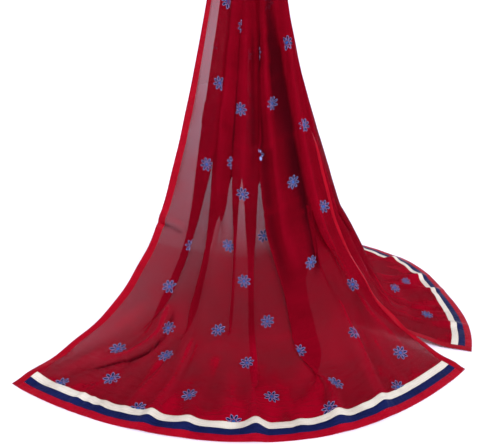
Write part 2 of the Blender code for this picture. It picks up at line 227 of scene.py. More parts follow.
class Fall:  # one half of the stole, from the hold to its hem
    def __init__(self, threads, legs, side):
        self.side = side
        self.legs = [Leg(*row) for row in legs]
        self.ways, self.points = plainFall(threads, side)
        normals = np.cross(np.gradient(self.points, axis=1), np.gradient(self.points, axis=0)) * side
        self.normals = normals / np.linalg.norm(normals, axis=2, keepdims=True)
        self.fine = np.linspace(0.0, stole["width"], stole["steps"][3])

    def plainRow(self, way):
        place = way * (len(self.ways) - 1)
        i = min(int(place), len(self.ways) - 2)
        s = place - i
        row = self.points[i] * (1 - s) + self.points[i + 1] * s
        normal = self.normals[i] * (1 - s) + self.normals[i + 1] * s
        held = 1.0 - ease(way, 0.0, drape["bunchEnd"])
        return row, normal * (1 - held) + np.array([0.0, float(self.side), 0.0]) * held

    def tuck(self, way, p, q):  # the front's right border is turned under near the hold
        turned = math.radians(drape["tuckTurn"]) * (1.0 - ease(way, *drape["tuckOpens"]))
        if self.side > 0 or turned < 0.01:
            return p, q
        u, line, bend = self.fine, drape["tuckedFrom"], drape["tuckBend"]
        angle = middles(turned * ease(u, line - bend, line + bend))
        run, rise = np.diff(p), np.diff(q)
        kept = u[1:] < line - bend
        step = np.where(kept, run, np.hypot(run, rise))
        rise = np.where(kept, rise, 0.0)
        return p[0] + summed(step * np.cos(angle)), q[0] + summed(rise - step * np.sin(angle))

    def section(self, way, length):
        table = np.array(pleatDepths)
        depth = float(np.interp(way, table[:, 0], table[:, 1]))
        inside = float(np.interp(way, table[:, 0], table[:, 2 if self.side < 0 else 3]))
        p, q = pleatSection(self.legs, self.fine, way, length, depth)
        lift = -q.min() - inside * (q.max() - q.min())
        reach = drape["borderReach"]
        edge = ease(self.fine, 0.0, reach) * ease(stole["width"] - self.fine, 0.0, reach)
        hold = 1.0 - ease(way, *drape["bordersLeave"])
        start = drape["curlStart"]
        curl = drape["borderCurl"] * math.sin(math.pi * min(max((way - start) / (1 - start), 0.0), 1.0))
        return self.tuck(way, p, q + lift * (edge + (1 - edge) * hold) + curl * (1 - edge))

    def row(self, way, columns):
        line, normal = self.plainRow(max(way, 0.0))
        run = summed(np.linalg.norm(np.diff(line, axis=0), axis=1))
        p, q = self.section(max(way, 0.0), run[-1])
        p = np.interp(columns, self.fine, p)
        q = np.interp(columns, self.fine, q)
        result = np.zeros((len(columns), 3))
        if way < 0.0:  # over the hold
            angle = -way * math.pi / 2
            result[:, 0] = np.interp(p, run, line[:, 0])
            result[:, 1] = self.side * (stole["archRadius"] + q) * math.cos(angle)
            reach = (stole["archRadius"] + q) * math.sin(angle)
            result[:, 2] = stole["topHeight"] - stole["holdHeight"] + reach
            return result
        for k in range(3):
            result[:, k] = np.interp(p, run, line[:, k]) + q * np.interp(p, run, normal[:, k])
        return result


# how the grid's columns gather where the pleats turn
spacing = {"reach": 1.15, "steepness": 4, "closer": 1.1, "tries": 2001}


def nearLegs(fall, u):  # 1 in the turns of the pleats, 0 between them
    near = np.zeros_like(u)
    for leg in fall.legs:
        away = np.clip(np.abs(u - leg.middle) / (leg.reach * spacing["reach"]), 0.0, 1.0)
        near = np.maximum(near, 1.0 - away ** spacing["steepness"])
    return near


def spacedColumns(fall, start, end, count):  # closer together where the pleats turn
    u = np.linspace(start, end, spacing["tries"])
    weight = 1.0 + spacing["closer"] * nearLegs(fall, u)
    run = summed(middles(weight) * np.diff(u))
    return np.interp(np.linspace(0.0, run[-1], count), run, u)


def surfaceNormals(points, sign):
    down = np.gradient(points, axis=0)
    across = np.gradient(points, axis=1)
    normals = np.cross(down, across) * sign
    return normals / np.maximum(np.linalg.norm(normals, axis=2, keepdims=True), 1e-12)


# soft folds laid one by one: from (across, down) to (across, down), half width, height, length of the fade
Fold = namedtuple("Fold", "u0 d0 u1 d1 width height fade")


def foldRelief(folds, u, d):
    relief = np.zeros(u.shape)
    for fold in folds:
        run = np.array([fold.u1 - fold.u0, fold.d1 - fold.d0])
        length = math.hypot(*run)
        run = run / length
        along = (u - fold.u0) * run[0] + (d - fold.d0) * run[1]
        off = (u - fold.u0) * run[1] - (d - fold.d0) * run[0]
        ends = ease(along, -fold.fade, fold.fade) * ease(length - along, -fold.fade, fold.fade)
        relief = relief + fold.height * ends * np.exp(-(off / fold.width) ** 2)
    return relief


# gathers and ripple: pitches and heights in metres, ranges as shares of the fall
ripple = {
    "gatherPitch": 0.0240, "gatherHeight": 0.0016, "gatherRange": (0.02, 0.40),
    "softPitch": 0.095, "softHeight": 0.0022, "softRange": (0.05, 0.3), "calmInPleats": 0.8,
    "floorPitch": 0.118, "floorHeight": 0.0042, "floorRange": (0.70, 0.86),
    "hemRange": (0.93, 1.0), "calmAtHem": 0.5,
    "borderPitch": 0.105, "borderHeight": 0.0013, "borderWide": 0.030, "borderRange": (0.3, 0.5),
    "startRange": (-0.2, 0.06), "hemEdge": (1.188, 1.217), "hemFlat": 0.85,
    # relief of a laid fold at which its painted shade or painted highlight is full
    "fullFoldShading": 0.008, "bendScale": 0.0045,
}


def wave(place, pitch, phase):
    return np.sin(2 * np.pi * place / pitch + phase)


def rippleRelief(fall, u, d):  # the odd factors keep the waves from repeating
    way = d / stole["length"]
    wobble = 0.9 * np.sin(5.3 * way + fall.side) + 0.6 * np.sin(11.0 * way + 2.0 * u / stole["width"])
    gather = wave(u, ripple["gatherPitch"], wobble)
    gather = gather + 0.5 * wave(u, ripple["gatherPitch"] * 1.73, -1.3 * wobble)
    gather = gather * ripple["gatherHeight"] * (1 - ease(way, *ripple["gatherRange"]))
    soft = wave(u, ripple["softPitch"], 2.2 * np.sin(3.1 * way + 0.7 * fall.side))
    soft = soft * (0.6 + 0.4 * np.sin(17.0 * u + 9.0 * way)) * ripple["softHeight"]
    soft = soft * ease(way, *ripple["softRange"]) * (1 - ripple["calmInPleats"] * nearLegs(fall, u))
    spread = wave(u, ripple["floorPitch"], 1.9 * np.sin(6.1 * d + fall.side) + 1.1)
    spread = spread + 0.6 * wave(u, ripple["floorPitch"] * 0.57, 31.0 * d - 2.4 * np.sin(8.3 * d))
    spread = spread * (0.55 + 0.45 * np.sin(23.0 * d + 11.0 * u)) * ripple["floorHeight"]
    spread = spread * ease(way, *ripple["floorRange"])
    spread = spread * (1 - ripple["calmAtHem"] * ease(way, *ripple["hemRange"]))
    edge = np.minimum(u, stole["width"] - u)
    border = wave(d, ripple["borderPitch"], 1.6 * np.sin(7.0 * way) + 3.0 * (u > 0.5))
    border = border * ripple["borderHeight"] * np.exp(-(edge / ripple["borderWide"]) ** 2)
    return gather + soft + spread + border * ease(way, *ripple["borderRange"])


class Field:  # the draped cloth as a grid that every piece follows
    def __init__(self, fall, ways, columns, folds):
        self.ways = np.array(ways)
        self.columns = np.array(columns)
        self.downs = np.where(self.ways < 0, self.ways * archLength, self.ways * stole["length"])
        points = np.array([fall.row(way, self.columns) for way in self.ways])
        self.u, self.d = np.meshgrid(self.columns, self.downs)
        laid = foldRelief(folds, self.u, self.d)
        relief = laid + rippleRelief(fall, self.u, self.d)
        relief = relief * ease(self.ways, *ripple["startRange"])[:, None]
        relief = relief * (1 - ripple["hemFlat"] * ease(self.downs, *ripple["hemEdge"]))[:, None]
        sign = -fall.side
        points = points + surfaceNormals(points, sign) * relief[..., None]
        floor = stole["floorGap"] - stole["holdHeight"]
        points[..., 2] = np.maximum(points[..., 2], floor)
        self.points = points
        self.lift = points[..., 2] - floor
        # painted shade and painted highlight: the laid folds' relief, for darkening the chiffon in their
        # troughs and lightening it on their crests
        self.foldShading = np.clip(laid / ripple["fullFoldShading"], -1.0, 1.0)
        self.normals = surfaceNormals(points, sign)
        gap = np.linalg.norm(np.diff(points, axis=1), axis=2)
        bend = np.linalg.norm(np.diff(self.normals, axis=1), axis=2) / np.maximum(gap, 1e-5)
        bend = np.pad(bend, ((0, 0), (1, 1)), mode="edge")
        self.fold = np.clip(0.5 * (bend[:, 1:] + bend[:, :-1]) * ripple["bendScale"], 0.0, 1.0)

    def part(self, rows, columns):  # a block of the grid
        return tuple(values[rows, columns] for values in
                     (self.points, self.normals, self.u, self.d, self.fold, self.lift, self.foldShading))

    def at(self, u, d):  # points and normals anywhere on the cloth
        i = np.clip(np.searchsorted(self.downs, d) - 1, 0, len(self.downs) - 2)
        j = np.clip(np.searchsorted(self.columns, u) - 1, 0, len(self.columns) - 2)
        s = ((d - self.downs[i]) / (self.downs[i + 1] - self.downs[i]))[..., None]
        t = ((u - self.columns[j]) / (self.columns[j + 1] - self.columns[j]))[..., None]
        found = []
        for grid in (self.points, self.normals):
            upper = grid[i, j] * (1 - t) + grid[i, j + 1] * t
            lower = grid[i + 1, j] * (1 - t) + grid[i + 1, j + 1] * t
            found.append(upper * (1 - s) + lower * s)
        return found[0], found[1] / np.linalg.norm(found[1], axis=-1, keepdims=True)


class Wire:  # an output socket that takes part in sums
    def __init__(self, tree, socket):
        self.tree = tree
        self.socket = socket

    def maths(self, operation, *values):
        return self.tree.add("ShaderNodeMath", {"operation": operation}, dict(enumerate(values)))

    def __add__(self, other):
        return self.maths("ADD", self, other)

    def __radd__(self, other):
        return self.maths("ADD", other, self)

    def __sub__(self, other):
        return self.maths("SUBTRACT", self, other)

    def __rsub__(self, other):
        return self.maths("SUBTRACT", other, self)

    def __mul__(self, other):
        return self.maths("MULTIPLY", self, other)

    def __rmul__(self, other):
        return self.maths("MULTIPLY", other, self)

    def abs(self):
        return self.maths("ABSOLUTE", self)

    def sine(self):
        return self.maths("SINE", self)

    def between(self, low, high):  # 0 at low, 1 at high, softly
        return self.tree.add("ShaderNodeMapRange", {"interpolation_type": "SMOOTHSTEP"},
                             {"Value": self, "From Min": low, "From Max": high})


class Tree:  # the nodes of one material or of the room
    def __init__(self, owner):
        owner.use_nodes = True
        self.nodes = owner.node_tree.nodes
        self.links = owner.node_tree.links

    def add(self, kind, settings=None, values=None, out=0):
        node = self.nodes.new(kind)
        for key, value in (settings or {}).items():
            setattr(node, key, value)
        for key, value in (values or {}).items():
            if isinstance(value, Wire):
                self.links.new(value.socket, node.inputs[key])
            else:
                node.inputs[key].default_value = value
        return Wire(self, node.outputs[out])


class Look(Tree):  # one material
    def __init__(self, name, **uniform):
        self.material = bpy.data.materials.new(name)
        super().__init__(self.material)
        self.shader = self.nodes["Principled BSDF"]
        for socket, value in uniform.items():
            self.shader.inputs[socket.replace("_", " ")].default_value = value

    def feed(self, **wires):
        for socket, wire in wires.items():
            self.links.new(wire.socket, self.shader.inputs[socket.replace("_", " ")])

    def mix(self, factor, first, second):  # by number, because its colour sockets share their names
        return self.add("ShaderNodeMix", {"data_type": "RGBA"}, {0: factor, 6: first, 7: second}, out=2)

    def noise(self, vector, scale, detail=2.0, stretch=(1.0, 1.0, 1.0), seed=0.0):
        values = {"Vector": vector, "Scale": stretch, "Location": (seed, seed, 0.0)}
        placed = self.add("ShaderNodeMapping", {}, values)
        return self.add("ShaderNodeTexNoise", {}, {"Vector": placed, "Scale": scale, "Detail": detail})

    def bump(self, height, distance, strength, under=None):
        values = {"Height": height, "Distance": distance, "Strength": strength}
        if under is not None:
            values["Normal"] = under
        return self.add("ShaderNodeBump", {}, values)

    def cloth(self):  # the cloth's own map, and metres across and down it
        uv = self.add("ShaderNodeUVMap", {"uv_map": "clothUV"})
        across = self.add("ShaderNodeSeparateXYZ", {}, {"Vector": uv})
        return uv, across, Wire(self, across.socket.node.outputs["Y"])


# sheer chiffon: linear colours, painted shade and painted highlight among them, what each adds to its
# thickness, partly painted shade, places in metres on the cloth, noise scales, and the distance and strength
# of each bump
chiffon = {
    # the first two are the cloth's own tones; the third, redder, is painted shade where the cloth lies on
    # the floor
    "thread": (0.155, 0.0, 0.0055, 1.0), "deep": (0.098, 0.0, 0.003, 1.0), "laid": (0.200, 0.0, 0.007, 1.0),
    # painted shade: a darker band down the fall, and the troughs of the laid folds
    "fallShade": (0.055, 0.0, 0.002, 1.0), "valleyShade": (0.010, 0.0, 0.0008, 1.0),
    # painted highlight on the crests of the laid folds
    "crestHighlight": (0.220, 0.0002, 0.009, 1.0),
    "laidShare": 0.80, "fallShadeShare": 0.35, "valleyShadeShare": 0.80, "crestHighlightShare": 0.40,
    # the colour also glows: painted light standing in for light passing through the sheer cloth
    "roughness": 0.86, "specular": 0.03, "glow": 0.62,
    "sheen": 0.04, "sheenRoughness": 0.45, "sheenTint": (1.0, 0.10, 0.16, 1.0),
    # painted shade adds to four of these: the band down the fall, the low line, the cloth on the floor and
    # the fold troughs
    "alpha": 0.57, "foldAlpha": 0.12, "fallShadeAlpha": 0.15, "lowAlpha": 0.05, "laidAlpha": 0.16,
    "valleyShadeAlpha": 0.10, "wrinkleAlpha": 0.04, "floorAlpha": -0.035, "toneAlpha": 0.05, "weaveAlpha": 0.02,
    # painted shade: the see-through closes down the fall, and again below a slanted line low on it
    "fallShadeGrows": (0.35, 0.82), "low": (0.829, 0.840), "lowSlant": 0.05, "floor": (0.96, 1.08),
    # where the painted shade band lies, down the fall and across it
    "fallShadeFrom": (0.40, 0.62), "fallShadeTo": (0.90, 1.02), "fallShadeSide": (0.70, 0.86),
    # height over the floor at which the painted floor shade fades, broken into patches
    "floorShadeLift": (-0.0080, 0.0150), "patchy": 0.095, "scrunchFrom": (1.02, 1.14), "scrunchShow": (0.50, 0.66),
    "mottle": 9.0, "slub": 34.0, "crepe": 420.0, "weave": 900.0, "wrinkle": 60.0, "creaseWave": 26.0,
    "toneShares": (0.5, 0.3, 0.2), "toneRange": (0.35, 0.65),
    "creasesDown": (0.335, 0.535, 0.735, 0.925, 1.105), "creasesAcross": (0.235, 0.475, 0.715),
    "creaseBend": 0.004, "creaseWide": 0.0022, "creaseBump": (0.0010, 0.7),
    "crepeBump": (0.0004, 0.55), "wrinkleBump": (0.0030, 0.5), "scrunchBump": (0.0030, 0.7),
}


def makeChiffon():
    look = Look("sheer_chiffon", Roughness=chiffon["roughness"], Specular_IOR_Level=chiffon["specular"],
                Sheen_Weight=chiffon["sheen"], Sheen_Roughness=chiffon["sheenRoughness"],
                Sheen_Tint=chiffon["sheenTint"], Emission_Strength=chiffon["glow"])
    uv, across, down = look.cloth()
    fold, lift, foldShading = (look.add("ShaderNodeAttribute", {"attribute_name": word}, out="Fac")
                         for word in ("fold", "lift", "foldShading"))
    mottle = look.noise(uv, chiffon["mottle"], 3.0)
    slub = look.noise(uv, chiffon["slub"], 2.0, stretch=(1.0, 9.0, 1.0), seed=3.0)
    crepe = look.noise(uv, chiffon["crepe"], 2.0)
    threads = chiffon["weave"] * math.tau
    weave = (across * threads).sine() * (down * threads).sine()
    shares = chiffon["toneShares"]
    tone = (mottle * shares[0] + slub * shares[1] + crepe * shares[2]).between(*chiffon["toneRange"])
    # painted shade line: below this slanted line the cloth lets less through, standing in for the shaded
    # floor seen through it
    low = (down + across * chiffon["lowSlant"]).between(*chiffon["low"])
    patch = look.noise(uv, chiffon["mottle"], 2.0, stretch=(2.1, 1.0, 1.0), seed=6.0) - 0.5
    # painted shade: where the cloth lies on the floor, in patches, it is redder and less see-through,
    # standing in for the shaded floor under it
    laid = 1.0 - (lift + patch * chiffon["patchy"]).between(*chiffon["floorShadeLift"])
    scrunch = look.noise(uv, chiffon["slub"], 3.0, stretch=(1.0, 5.0, 1.0), seed=15.0)
    scrunched = scrunch.between(*chiffon["scrunchShow"]) * down.between(*chiffon["scrunchFrom"])
    # painted shade: a darker band down the middle of the fall, fading out across the right part of the width
    fallShade = down.between(*chiffon["fallShadeFrom"]) * (1.0 - down.between(*chiffon["fallShadeTo"]))
    fallShade = fallShade * (1.0 - across.between(*chiffon["fallShadeSide"]))
    # painted shade in the troughs of the laid folds and painted highlight on their crests
    hollowShade = (0.0 - foldShading).between(0.0, 1.0)
    woven = look.mix(tone, chiffon["deep"], chiffon["thread"])
    crestHighlight = foldShading.between(0.0, 1.0)
    # all four mixes are painted: floor shade, the shade band down the fall, shade in the fold troughs and
    # highlight on the fold crests
    for share, word in ((laid, "laid"), (fallShade, "fallShade"), (hollowShade, "valleyShade"), (crestHighlight, "crestHighlight")):
        woven = look.mix(share * chiffon[word + "Share"], woven, chiffon[word])
    # the colour, painted shade and highlight included, also glows as painted light for light passing through
    # the cloth
    look.feed(Base_Color=woven, Emission_Color=woven)
    sheer = tone * chiffon["toneAlpha"] + weave * chiffon["weaveAlpha"] + chiffon["alpha"]
    # painted shade also closes the see-through: down the fall, below the low line, where the cloth lies on
    # the floor and in the fold troughs
    for share, word in ((fold, "fold"), (down.between(*chiffon["fallShadeGrows"]), "fallShade"), (low, "low"),
                        (laid, "laid"), (hollowShade, "valleyShade"), (scrunched, "wrinkle"),
                        (down.between(*chiffon["floor"]), "floor")):
        sheer = sheer + share * chiffon[word + "Alpha"]
    look.feed(Alpha=sheer)
    bend = (look.noise(uv, chiffon["creaseWave"], 1.0, seed=7.0) - 0.5) * chiffon["creaseBend"]
    lines = ((down + bend, chiffon["creasesDown"]), (across + bend, chiffon["creasesAcross"]))
    crease = sum(1.0 - (line - place).abs().between(0.0, chiffon["creaseWide"])
                 for line, places in lines for place in places)
    wrinkle = look.noise(uv, chiffon["wrinkle"], 2.0, stretch=(1.0, 2.6, 1.0), seed=11.0)
    normal = look.bump(crepe, *chiffon["crepeBump"])
    normal = look.bump(wrinkle, *chiffon["wrinkleBump"], normal)
    normal = look.bump(scrunched, *chiffon["scrunchBump"], normal)
    look.feed(Normal=look.bump(crease, *chiffon["creaseBump"], normal))
    return look.material


# satin ribbons: colour and its darker weft, the run of the stitches, and how it shines
satin = {
    "red": ((0.370, 0.003, 0.014, 1.0), (0.260, 0.001, 0.009, 1.0)),
    # the side ribbons' red is the same satin painted in shade, darker than the red at the hem
    "shadedSideRed": ((0.315, 0.002, 0.010, 1.0), (0.220, 0.001, 0.007, 1.0)),
    "navy": ((0.008, 0.013, 0.066, 1.0), (0.004, 0.007, 0.037, 1.0)),
    "ivory": ((0.700, 0.660, 0.500, 1.0), (0.560, 0.510, 0.375, 1.0)),
    "stitchLong": 0.0030, "stitchWide": 0.00035, "stitchIn": 0.0018, "stitchShow": (-0.5, 0.1),
    "stitchShare": 0.6, "specular": 0.03, "roughness": 0.44, "shine": 0.14,
    "weft": 2600.0, "mottle": 24.0, "streak": 60.0, "pucker": 55.0, "streakShare": 0.6,
    "toneRange": (0.30, 0.62),
    "weftBump": (0.00008, 0.4), "stitchBump": (0.0004, 0.6), "puckerBump": (0.0022, 0.5),
}


def makeSatin(name, colours, lengthwise, edges):
    look = Look(name, Specular_IOR_Level=satin["specular"])
    uv, across, down = look.cloth()
    run, off = (down, across) if lengthwise else (across, down)
    streaked = (9.0, 1.0, 1.0) if lengthwise else (1.0, 9.0, 1.0)
    puckered = (1.0, 3.0, 1.0) if lengthwise else (3.0, 1.0, 1.0)
    mottle = look.noise(uv, satin["mottle"], 2.0, seed=2.0)
    streak = look.noise(uv, satin["streak"], 3.0, stretch=streaked, seed=5.0)
    share = satin["streakShare"]
    tone = (mottle * (1.0 - share) + streak * share).between(*satin["toneRange"])
    wide = satin["stitchWide"]
    stitch = sum(1.0 - (off - edge).abs().between(wide, wide * 2) for edge in edges)
    stitch = stitch * (run * (math.tau / satin["stitchLong"])).sine().between(*satin["stitchShow"])
    colour = look.mix(tone, colours[1], colours[0])
    look.feed(Base_Color=look.mix(stitch * satin["stitchShare"], colour, colours[1]),
              Roughness=satin["roughness"] - tone * satin["shine"])
    pucker = look.noise(uv, satin["pucker"], 1.0, stretch=puckered, seed=9.0)
    normal = look.bump((run * satin["weft"]).sine(), *satin["weftBump"])
    normal = look.bump(stitch, *satin["stitchBump"], normal)
    look.feed(Normal=look.bump(pucker, *satin["puckerBump"], normal))
    return look.material


def seamLines(wide, *ribbons):  # the two stitched lines of each ribbon
    inside = satin["stitchIn"]
    return [place for edge in ribbons for place in (edge + inside, edge + wide - inside)]


# embroidery threads: light and dark of each, and their twist
floss = {
    "colours": {
        "lavender": ((0.265, 0.330, 0.560, 1.0), (0.150, 0.195, 0.370, 1.0)),
        "ink": ((0.007, 0.011, 0.055, 1.0), (0.003, 0.004, 0.026, 1.0)),
        "azure": ((0.035, 0.110, 0.310, 1.0), (0.014, 0.045, 0.160, 1.0)),
    },
    "roughness": 0.60, "specular": 0.10, "twist": 900.0, "patch": 60.0, "twistShare": 0.6,
    "toneRange": (0.35, 0.65), "twistBump": (0.0003, 0.6),
}


def makeFloss(name):
    look = Look(name + "_thread", Roughness=floss["roughness"], Specular_IOR_Level=floss["specular"])
    place = look.add("ShaderNodeTexCoord", {}, out="Object")
    twist = look.noise(place, floss["twist"], 2.0)
    patch = look.noise(place, floss["patch"], 2.0, seed=4.0)
    share = floss["twistShare"]
    tone = (twist * share + patch * (1.0 - share)).between(*floss["toneRange"])
    light, dark = floss["colours"][name]
    look.feed(Base_Color=look.mix(tone, dark, light), Normal=look.bump(twist, *floss["twistBump"]))
    return look.material


sideEdges = (0.0, stole["width"] - stole["ribbon"])
looks = {
    "chiffon": makeChiffon(),
    # the side ribbons take the red satin painted in shade
    "side": makeSatin("shaded_red_satin_long", satin["shadedSideRed"], True, seamLines(stole["ribbon"], *sideEdges)),
}
for k, name in enumerate(("red", "navy", "ivory")):
    seams = seamLines(stole["endRibbon"], stole["length"] - (k + 1) * stole["endRibbon"])
    looks[name] = makeSatin(name + "_satin_end", satin[name], False, seams)
for name in floss["colours"]:
    looks[name] = makeFloss(name)
print("materials made")


# the sewn cloth: walls, laps and seams in metres, and the grids of the two panels
sewing = {
    "chiffonWall": 0.0004, "satinWall": 0.0010, "lap": 0.0020, "seam": 0.0002, "sharpAngle": 75,
    "ribbonEdge": 0.45,  # share of its wall that a ribbon keeps at its folded edges
    "archRows": 8, "ribbonColumns": 6, "frontGrid": (190, 236), "backGrid": (150, 200),
    "near": 1e-6,
}


def gridShell(name, block, wall, edgeThin=None):  # closed thin shell round a block of the grid
    points, normals, u, d, fold, lift, foldShading = block
    high, wide = points.shape[:2]
    thick = np.full((high, wide), wall)
    if edgeThin is not None:
        thick = thick * edgeThin(u, d)
    half = normals * (thick[..., None] / 2)
    verts = np.concatenate([(points + half).reshape(-1, 3), (points - half).reshape(-1, 3)])
    count = high * wide
    index = np.arange(count).reshape(high, wide)
    a, b, c, e = index[:-1, :-1], index[1:, :-1], index[1:, 1:], index[:-1, 1:]
    faces = [np.stack([a, b, c, e], -1).reshape(-1, 4), np.stack([a, e, c, b], -1).reshape(-1, 4) + count]
    rims = ((index[1:, 0], index[:-1, 0]), (index[:-1, -1], index[1:, -1]),
            (index[0, :-1], index[0, 1:]), (index[-1, 1:], index[-1, :-1]))
    for first, second in rims:
        faces.append(np.stack([first, second, second + count, first + count], -1))
    faces = np.concatenate(faces)
    corner = [verts[faces[:, k]] for k in range(4)]
    volume = sum((corner[0] * np.cross(corner[k], corner[k + 1])).sum() for k in (1, 2))
    if volume < 0:
        faces = faces[:, ::-1]
    mesh = bpy.data.meshes.new(name)
    mesh.from_pydata(verts.tolist(), [], faces.tolist())
    corners = np.zeros(len(mesh.loops), int)
    mesh.loops.foreach_get("vertex_index", corners)
    uv = np.tile(np.stack([u.ravel(), d.ravel()], -1), (2, 1))
    mesh.uv_layers.new(name="clothUV").data.foreach_set("uv", uv[corners].ravel())
    # stored for the chiffon: bend for its see-through, height over the floor for its painted floor shade,
    # and the laid folds' relief for their painted shade and highlight
    for word, values in (("fold", fold), ("lift", lift), ("foldShading", foldShading)):
        mesh.attributes.new(word, "FLOAT", "POINT").data.foreach_set("value", np.tile(values.ravel(), 2))
    mesh.polygons.foreach_set("use_smooth", [True] * len(mesh.polygons))
    mesh.set_sharp_from_angle(angle=math.radians(sewing["sharpAngle"]))
    piece = bpy.data.objects.new(name, mesh)
    bpy.context.scene.collection.objects.link(piece)
    return piece


def softEdges(low, high, place):  # a ribbon is thinner towards its folded edges
    kept = sewing["ribbonEdge"]

    def thin(u, d):
        s = np.clip(((u if place == "across" else d) - low) / (high - low), 0.0, 1.0)
        return kept + (1.0 - kept) * np.sqrt(np.clip(4 * s * (1 - s), 0.0, 1.0))
    return thin


def sewFall(word, fall, folds, panelRows, panelColumns):
    length, width, ribbon = stole["length"], stole["width"], stole["ribbon"]
    lap, seam, count = sewing["lap"], sewing["seam"] / 2, sewing["ribbonColumns"]
    bands = [length - k * stole["endRibbon"] for k in (3, 2, 1, 0)]
    hems = [(bands[k] + seam, bands[k + 1] - (seam if k < 2 else 0.0)) for k in range(3)]
    arch = np.linspace(stole["archGap"] - 1.0, 0.0, sewing["archRows"])[:-1] * archLength
    downs = [arch, np.linspace(0.0, bands[0], panelRows), [bands[0] + lap]]
    downs = downs + [np.linspace(low, high, count) for low, high in hems]
    downs = np.unique(np.round(np.concatenate(downs), 6))
    inner = (ribbon, width - ribbon)
    columns = [np.linspace(0.0, inner[0] - seam, count), [inner[0] - lap],
               spacedColumns(fall, inner[0] + seam, inner[1] - seam, panelColumns),
               [inner[1] + lap], np.linspace(inner[1] + seam, width, count)]
    columns = np.unique(np.round(np.concatenate(columns), 6))
    field = Field(fall, np.where(downs < 0, downs / archLength, downs / length), columns, folds)

    def block(values, low, high):
        found = np.flatnonzero((values >= low - sewing["near"]) & (values <= high + sewing["near"]))
        return slice(found[0], found[-1] + 1)

    def cut(name, down, across, wall, look, thin=None):
        rows, places = block(downs, *down), block(columns, *across)
        piece = gridShell(name, field.part(rows, places), wall, thin)
        piece.data.materials.append(look)
        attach(piece, "root")
        return piece

    pieces = {}
    top, wall = downs[0], sewing["satinWall"]
    panel = cut(word + "_chiffon", (top, bands[0] + lap), (inner[0] - lap, inner[1] + lap),
                sewing["chiffonWall"], looks["chiffon"])
    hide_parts(word + "_fall")
    for side, across in (("left", (0.0, inner[0] - seam)), ("right", (inner[1] + seam, width))):
        name = word + "_" + side + "_ribbon"
        pieces[side] = cut(name + "_satin", (top, length), across, wall, looks["side"],
                           softEdges(*across, "across"))
        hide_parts(name)
    for down, colour, look in zip(hems, ("white", "navy", "red"), ("ivory", "navy", "red")):
        name = word + "_hem_" + colour
        pieces[colour] = cut(name + "_satin", down, (inner[0] + seam, inner[1] - seam), wall, looks[look],
                             softEdges(*down, "down"))
        look + "_satin"
        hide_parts(name)
    return field, panel, pieces


